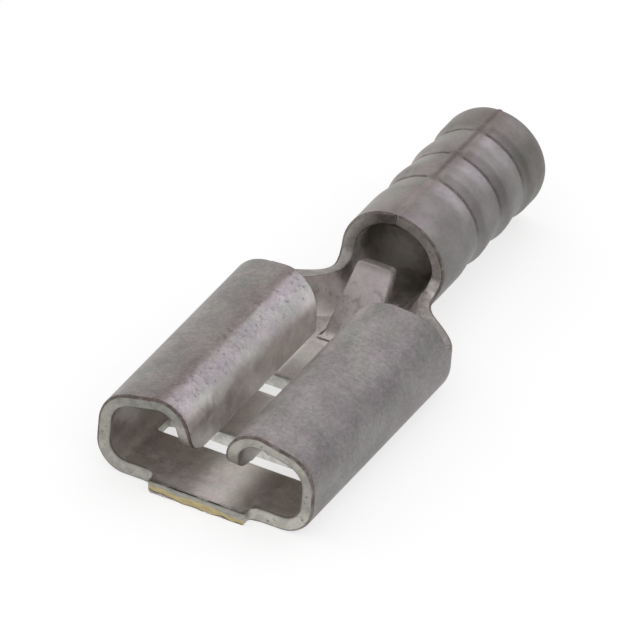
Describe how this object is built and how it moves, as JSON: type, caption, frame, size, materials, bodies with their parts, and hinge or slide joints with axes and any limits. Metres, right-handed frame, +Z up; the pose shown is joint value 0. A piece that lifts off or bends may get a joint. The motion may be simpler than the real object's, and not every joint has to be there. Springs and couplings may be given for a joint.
{
  "type": "female spade terminal",
  "caption": "Uninsulated push-on receptacle: rolled blade socket on a slotted floor, a narrowing neck with a wire stop, and a butted round wire barrel.",
  "frame": {"origin": "under the middle of the terminal, on the plane of its flat underside", "axes": "+Y along the terminal from the blade opening to the wire end, +Z up out of the flat floor, +X across the width"},
  "size_m": [0.0074, 0.0202, 0.0036],
  "materials": {
    "tinned_brass": "Matte tin plate over brass, lightly mottled and pitted, with greyer sheared edges and bare yellow brass where the carrier strip was cut off."
  },
  "bodies": {
    "root": {"terminal": "tinned_brass"}
  },
  "joints": []
}
